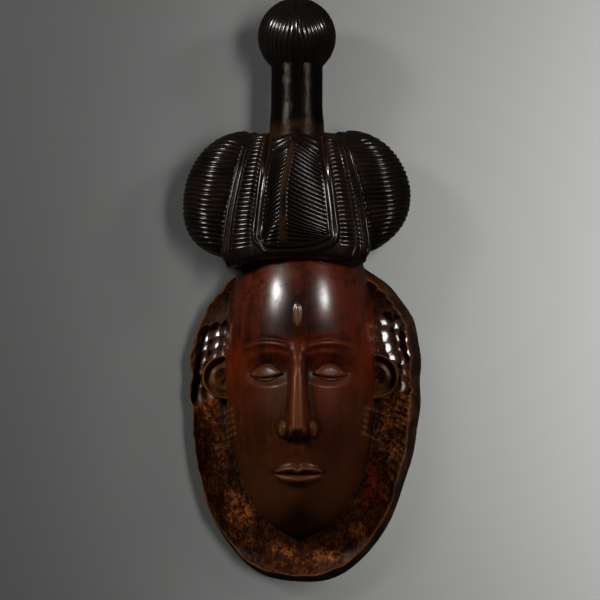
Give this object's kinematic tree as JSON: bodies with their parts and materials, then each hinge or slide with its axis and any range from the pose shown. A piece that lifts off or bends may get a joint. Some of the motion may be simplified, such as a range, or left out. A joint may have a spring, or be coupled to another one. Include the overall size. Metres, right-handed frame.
{
  "type": "carved face mask",
  "caption": "Carved wooden face mask with a flat collar, three-lobed ribbed hair and a ball finial, hollow behind the face.",
  "frame": {"origin": "middle of the mask's box, on the flat back that it lies on", "axes": "+X across the mask to the viewer's right, +Y from chin to ball, +Z out of the face"},
  "size_m": [0.2048, 0.5, 0.106],
  "materials": {
    "carved_wood": "polished dark patina, black on the hair and worn brown on the collar's edge"
  },
  "bodies": {
    "root": {"carved_mask": "carved_wood"}
  },
  "joints": []
}
